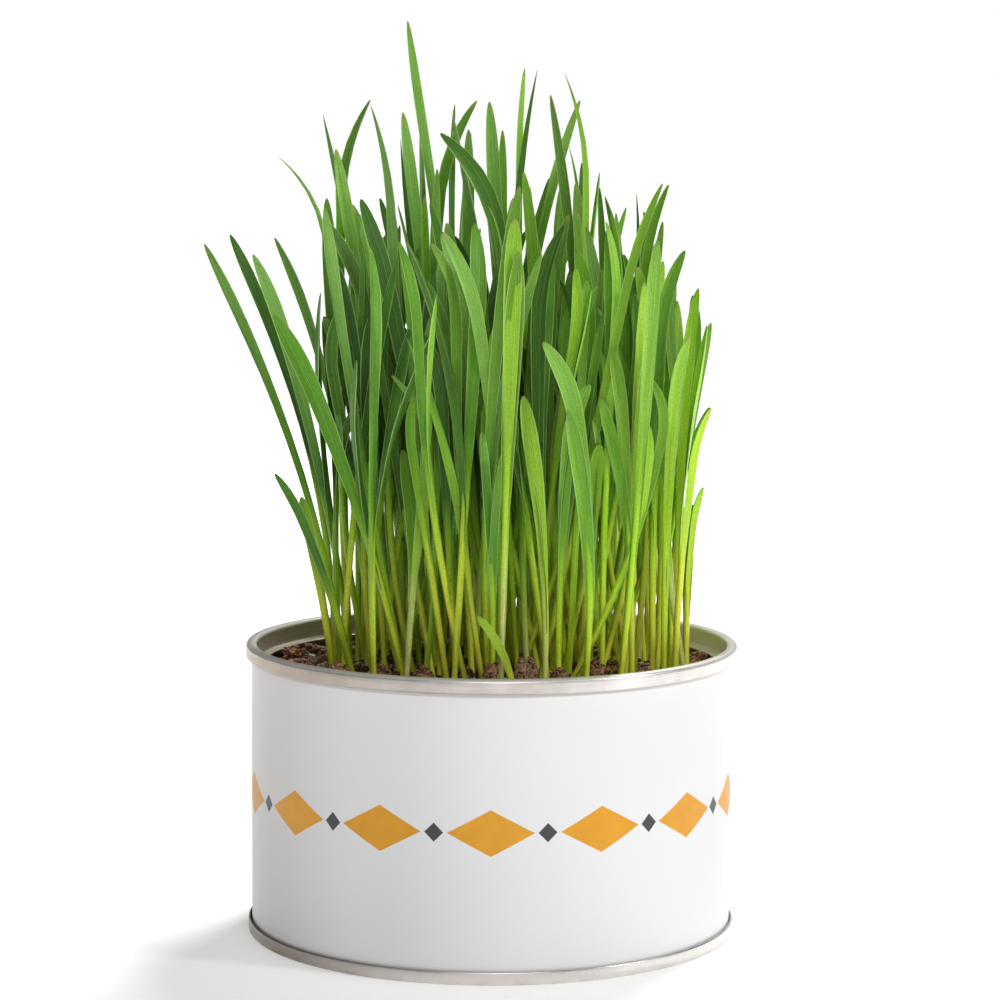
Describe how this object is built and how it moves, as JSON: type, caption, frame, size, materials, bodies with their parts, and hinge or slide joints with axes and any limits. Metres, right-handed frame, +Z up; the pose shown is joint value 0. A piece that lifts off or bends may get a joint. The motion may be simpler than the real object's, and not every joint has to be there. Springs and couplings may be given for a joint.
{
  "type": "wheatgrass in a round tin",
  "caption": "Low round tin, white outside, filled with potting mix and densely grown with tall wheatgrass.",
  "frame": {"origin": "on the tin's axis, in the plane that the base seam stands on; the base panel's flat middle is 1 mm above it", "axes": "+Z up along the tin's axis, -Y towards the front that the picture shows, +X to the right seen from there"},
  "size_m": [0.109, 0.102, 0.1889],
  "materials": {
    "white_enamel": "satin white enamel outside, bare tinplate inside",
    "tinplate": "bare rolled tinplate",
    "potting_mix": null,
    "grass": null
  },
  "bodies": {
    "root": {"tin_body": "white_enamel", "top_seam": "tinplate", "base_end": "tinplate", "potting_mix": "potting_mix", "tuft_1": "grass", "tuft_2": "grass", "tuft_3": "grass", "tuft_4": "grass", "tuft_5": "grass", "tuft_6": "grass", "tuft_7": "grass", "tuft_8": "grass", "tuft_9": "grass", "tuft_10": "grass", "tuft_11": "grass", "tuft_12": "grass", "tuft_13": "grass", "tuft_14": "grass", "tuft_15": "grass", "tuft_16": "grass", "tuft_17": "grass", "tuft_18": "grass", "tuft_19": "grass"}
  },
  "joints": []
}
